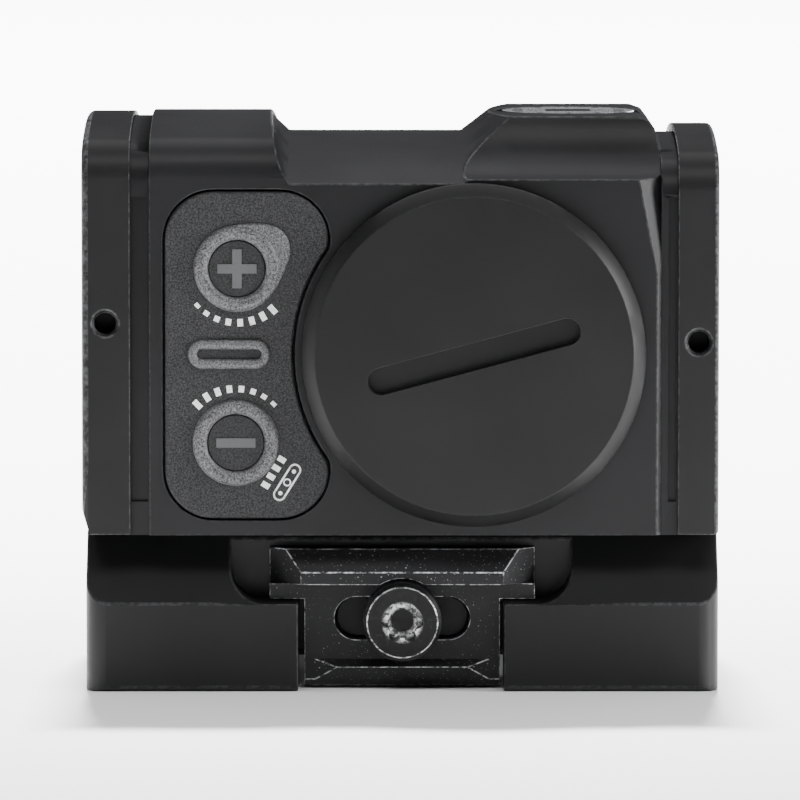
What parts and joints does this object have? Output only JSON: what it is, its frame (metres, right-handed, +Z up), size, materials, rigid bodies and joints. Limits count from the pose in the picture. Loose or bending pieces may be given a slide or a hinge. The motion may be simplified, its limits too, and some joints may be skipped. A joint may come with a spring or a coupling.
{
  "type": "red dot sight",
  "caption": "Enclosed red dot finder sight with square apertures, side battery cap and rubber keys, on a cross-bolt rail clamp.",
  "frame": {"origin": "middle of the rail seat, on the rail's top surface under the sight's centre", "axes": "-X is the front, where the objective faces, and +X is the eye; -Y is the side with the battery cap and keys; +Z is up"},
  "size_m": [0.0473, 0.032, 0.0426],
  "materials": {
    "anodised_housing": "black hard-anodised aluminium, fine bead-blasted matt",
    "anodised_hood": "black hard-anodised aluminium, fine bead-blasted matt",
    "anodised_base": "black hard-anodised aluminium, fine bead-blasted matt",
    "anodised_cap": "black hard-anodised aluminium, turned and bead-blasted matt",
    "anodised_inner": "flat black anodised aluminium",
    "coated_lens": "multi-coated optical glass with a red-reflecting dichroic tint",
    "rear_glass": "multi-coated optical glass",
    "rubber_seal": "black nitrile rubber",
    "black_steel": "black oxide steel",
    "key_steel": "black oxide steel bar",
    "cell_nickel": "nickel-plated steel can",
    "contact_brass": "gold-plated spring brass",
    "board": "green solder-masked circuit board",
    "bright_steel": "bright stainless steel",
    "keypad_rubber": "dark grey moulded silicone rubber, fine speckled texture",
    "key_rubber": "dark grey moulded silicone rubber with lighter signs",
    "frame_aluminium": "machined aluminium",
    "emitter_resin": "clear red emitter resin"
  },
  "bodies": {
    "root": {"main_housing": "anodised_housing", "front_hood": "anodised_hood", "rear_hood": "anodised_hood", "front_lens": "coated_lens", "rear_lens": "rear_glass", "front_lens_gasket": "rubber_seal", "rear_lens_gasket": "rubber_seal", "rear_lens_cell": "anodised_inner", "front_hood_screws": "black_steel", "rear_hood_screws": "black_steel", "cell_contact_spring": "contact_brass", "circuit_board": "board", "switch_domes": "bright_steel", "keypad": "keypad_rubber", "click_balls": "bright_steel", "click_springs": "bright_steel", "elevation_return_spring": "bright_steel", "rail_base": "anodised_base", "clamp_nut": "bright_steel", "recoil_key": "key_steel", "base_screws": "black_steel"},
    "cap_seal": {"coin_cell": "cell_nickel", "cap_o_ring": "rubber_seal"},
    "battery_cap": {"battery_cap": "anodised_cap"},
    "plus_button": {"plus_button": "key_rubber"},
    "minus_button": {"minus_button": "key_rubber"},
    "elevation_dial": {"elevation_dial": "anodised_cap", "elevation_dial_o_ring": "rubber_seal"},
    "elevation_frame": {"elevation_frame": "frame_aluminium"},
    "windage_dial": {"windage_dial": "anodised_cap", "windage_dial_o_ring": "rubber_seal"},
    "windage_frame": {"windage_frame": "frame_aluminium", "led_emitter": "emitter_resin"},
    "clamp_jaw": {"clamp_jaw": "anodised_base"},
    "clamp_bolt": {"clamp_bolt": "black_steel"}
  },
  "joints": [
    {"name": "cap_unscrew_travel", "type": "slide", "parent": "root", "child": "cap_seal", "axis": [0, -1, 0], "range_m": [0, 0.00375]},
    {"name": "cap_turn", "type": "hinge", "parent": "cap_seal", "child": "battery_cap", "pos_m": [0.0055, -0.016, 0.0195], "axis": [0, -1, 0], "range_deg": [0, 1800]},
    {"name": "plus_press", "type": "slide", "parent": "root", "child": "plus_button", "axis": [0, 1, 0], "range_m": [0, 0.00045], "stiffness_N_per_m": 800},
    {"name": "minus_press", "type": "slide", "parent": "root", "child": "minus_button", "axis": [0, 1, 0], "range_m": [0, 0.00045], "stiffness_N_per_m": 800},
    {"name": "elevation_turn", "type": "hinge", "parent": "root", "child": "elevation_dial", "pos_m": [0.0128, 0, 0.0365], "axis": [0, 0, 1], "range_deg": [-360, 360]},
    {"name": "elevation_travel", "type": "slide", "parent": "root", "child": "elevation_frame", "axis": [0, 0, 1], "range_m": [-0.0005, 0.0005], "deforming": ["elevation_return_spring"]},
    {"name": "windage_turn", "type": "hinge", "parent": "root", "child": "windage_dial", "pos_m": [0.0128, 0.0143, 0.022], "axis": [0, 1, 0], "range_deg": [-360, 360]},
    {"name": "windage_travel", "type": "slide", "parent": "elevation_frame", "child": "windage_frame", "axis": [0, 1, 0], "range_m": [-0.0005, 0.0005]},
    {"name": "jaw_travel", "type": "slide", "parent": "root", "child": "clamp_jaw", "axis": [0, -1, 0], "range_m": [0, 0.003]},
    {"name": "bolt_turn", "type": "hinge", "parent": "clamp_jaw", "child": "clamp_bolt", "pos_m": [0.0002, -0.015, -0.0004], "axis": [0, -1, 0], "range_deg": [0, 2160]}
  ],
  "couplings": [
    {"joint": "cap_turn", "follows": "cap_unscrew_travel", "rad_per_m": 8377.6},
    {"joint": "elevation_turn", "follows": "elevation_travel", "rad_per_m": -12566},
    {"joint": "windage_turn", "follows": "windage_travel", "rad_per_m": 12566},
    {"joint": "bolt_turn", "follows": "jaw_travel", "rad_per_m": 12566}
  ]
}
